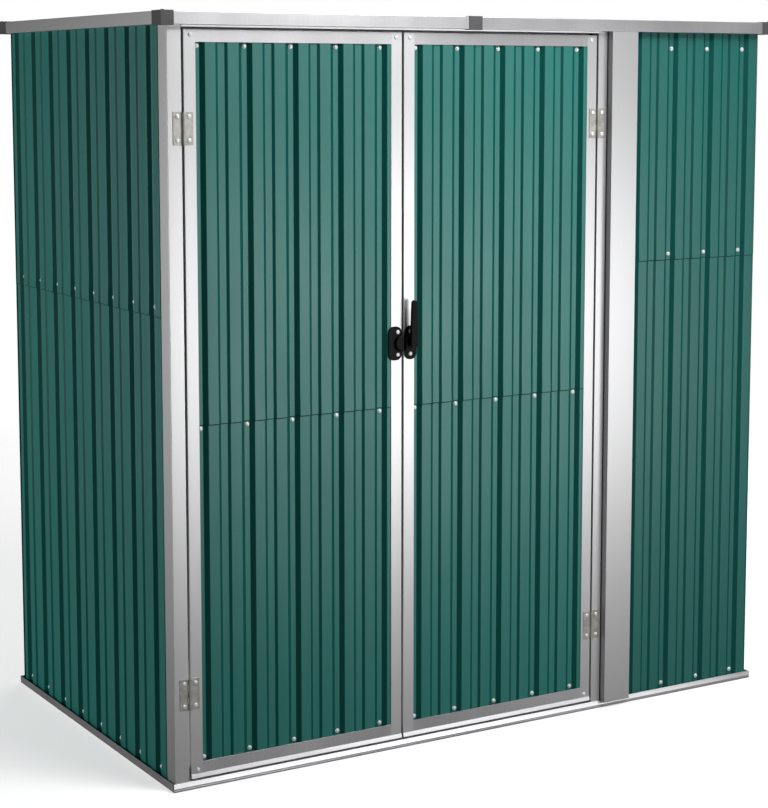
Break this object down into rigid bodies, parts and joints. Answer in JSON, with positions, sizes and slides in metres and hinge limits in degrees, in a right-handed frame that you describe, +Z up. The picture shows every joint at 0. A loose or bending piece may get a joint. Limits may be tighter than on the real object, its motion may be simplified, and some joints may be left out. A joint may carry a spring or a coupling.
{
  "type": "metal storage shed",
  "caption": "Small flat-roofed garden shed of green profiled steel sheets in a silver steel frame, with hinged double doors, a lever latch and a fixed front panel.",
  "frame": {"origin": "middle of the footprint at ground level", "axes": "+X to the right along the front, +Y from the front to the back, +Z up"},
  "size_m": [1.783, 1.0335, 1.803],
  "materials": {
    "green_sheet": "satin green paint on profiled steel sheet",
    "galvanised_steel": "satin, galvanised",
    "hinge_steel": "zinc plated",
    "grey_plastic": "matte dark grey",
    "black_plastic": "satin black"
  },
  "bodies": {
    "shed": {"base_rail_front": "galvanised_steel", "base_rail_back": "galvanised_steel", "base_rail_left": "galvanised_steel", "base_rail_right": "galvanised_steel", "corner_post_front_left": "galvanised_steel", "corner_post_front_right": "galvanised_steel", "corner_post_back_left": "galvanised_steel", "corner_post_back_right": "galvanised_steel", "door_jamb_right": "galvanised_steel", "cover_post": "galvanised_steel", "door_header": "galvanised_steel", "top_rail_left": "galvanised_steel", "top_rail_right": "galvanised_steel", "top_rail_back": "galvanised_steel", "front_panel_angles": "galvanised_steel", "wall_girts": "galvanised_steel", "left_wall_lower": "green_sheet", "left_wall_upper": "green_sheet", "right_wall_lower": "green_sheet", "right_wall_upper": "green_sheet", "back_wall_lower": "green_sheet", "back_wall_upper": "green_sheet", "front_panel_lower": "green_sheet", "front_panel_upper": "green_sheet", "roof_beam_front_left": "galvanised_steel", "roof_beam_front_right": "galvanised_steel", "roof_beam_left": "galvanised_steel", "roof_beam_right": "galvanised_steel", "roof_beam_back": "galvanised_steel", "roof_corner_caps": "grey_plastic", "roof_joint_cap": "grey_plastic", "roof_crossbar": "galvanised_steel", "roof_sheet_left": "green_sheet", "roof_sheet_right": "green_sheet", "frame_hinge_leaves": "hinge_steel"},
    "left_door": {"left_door_stiles": "galvanised_steel", "left_door_rails": "galvanised_steel", "left_door_sheet_lower": "green_sheet", "left_door_sheet_upper": "green_sheet", "left_door_hinge_leaves": "hinge_steel", "latch_keeper": "black_plastic"},
    "right_door": {"right_door_stiles": "galvanised_steel", "right_door_rails": "galvanised_steel", "right_door_sheet_lower": "green_sheet", "right_door_sheet_upper": "green_sheet", "right_door_hinge_leaves": "hinge_steel", "latch_base": "black_plastic"},
    "lever": {"latch_lever": "black_plastic"}
  },
  "joints": [
    {"name": "left_door_hinge", "type": "hinge", "parent": "shed", "child": "left_door", "pos_m": [-0.8295, -0.4955, 0.9], "axis": [0, 0, -1], "range_deg": [0, 145]},
    {"name": "right_door_hinge", "type": "hinge", "parent": "shed", "child": "right_door", "pos_m": [0.3305, -0.4955, 0.9], "axis": [0, 0, 1], "range_deg": [0, 145]},
    {"name": "latch_turn", "type": "hinge", "parent": "right_door", "child": "lever", "pos_m": [-0.23, -0.509, 1.013], "axis": [0, 1, 0], "range_deg": [0, 90]}
  ]
}
